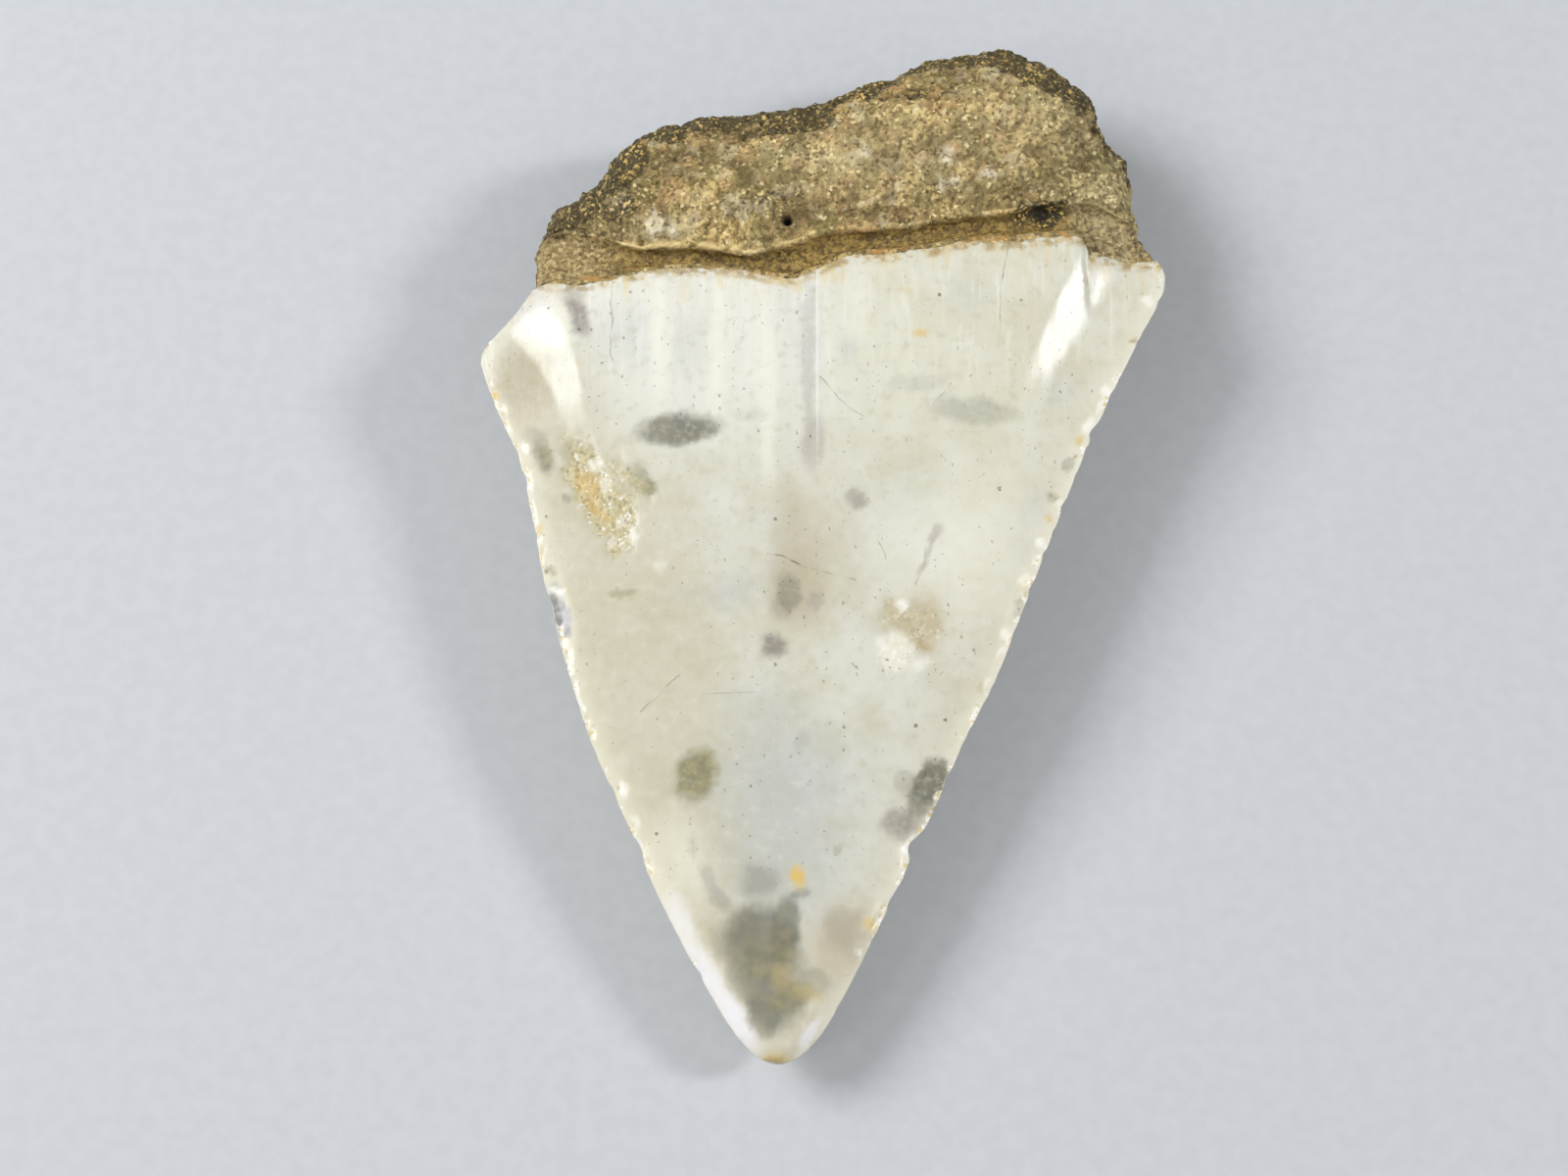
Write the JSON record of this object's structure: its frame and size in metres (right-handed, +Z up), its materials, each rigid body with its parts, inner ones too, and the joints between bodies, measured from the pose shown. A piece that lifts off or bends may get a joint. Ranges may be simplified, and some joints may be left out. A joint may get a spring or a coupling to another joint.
{
  "type": "fossil shark tooth",
  "caption": "Fossil shark tooth lying flat: a broad triangular enamelled blade with sharp edges and a rounded tip, on a thick, rough, uneven root.",
  "frame": {"origin": "on the surface that the tooth lies on, under the centre of its box", "axes": "+Z up, out of the flatter labial face; +Y from the tip towards the root; +X to the right as seen from above with the root at the far side"},
  "size_m": [0.0324, 0.0496, 0.009],
  "materials": {
    "fossil_tooth": "glossy cream and grey enamel on the blade, matt, granular, sandy brown root"
  },
  "bodies": {
    "root": {"tooth": "fossil_tooth"}
  },
  "joints": []
}
